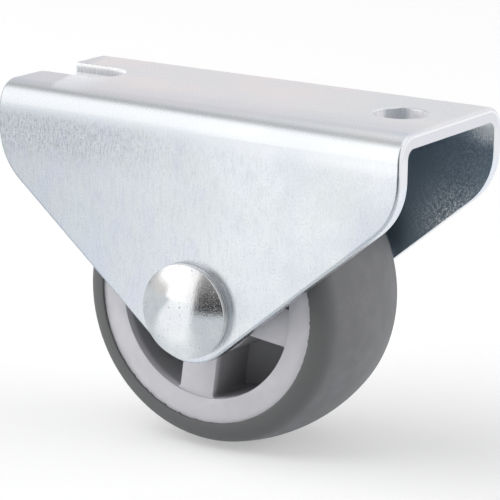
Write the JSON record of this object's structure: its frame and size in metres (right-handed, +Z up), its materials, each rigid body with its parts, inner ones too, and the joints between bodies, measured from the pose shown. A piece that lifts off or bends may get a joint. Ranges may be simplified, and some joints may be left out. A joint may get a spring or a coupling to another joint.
{
  "type": "fixed caster wheel",
  "caption": "Small fixed furniture castor: a folded steel channel with a screw hole and an open slot on top, and a soft-tread plastic wheel riveted between its side plates.",
  "frame": {"origin": "middle of the top plate's upper face, the face that is screwed to the furniture, straight above the axle", "axes": "+X along the channel from the open slot to the round screw hole, +Y along the axle from the rivet's domed head to its set end, +Z up out of the mounting face"},
  "size_m": [0.046, 0.024, 0.035],
  "materials": {
    "zinc_sheet": "bright zinc plating, fine vertical grain",
    "rivet_steel": "polished and zinc-plated",
    "sleeve_steel": "drawn tube, plain",
    "core_plastic": "moulded, satin light grey",
    "tread_rubber": "moulded, smooth matt mid grey"
  },
  "bodies": {
    "bracket": {"housing": "zinc_sheet", "axle_rivet": "rivet_steel", "axle_sleeve": "sleeve_steel"},
    "wheel": {"wheel_core": "core_plastic", "tyre": "tread_rubber"}
  },
  "joints": [
    {"name": "wheel_spin", "type": "hinge", "parent": "bracket", "child": "wheel", "pos_m": [0, 0, -0.02], "axis": [0, 1, 0], "continuous": true}
  ]
}
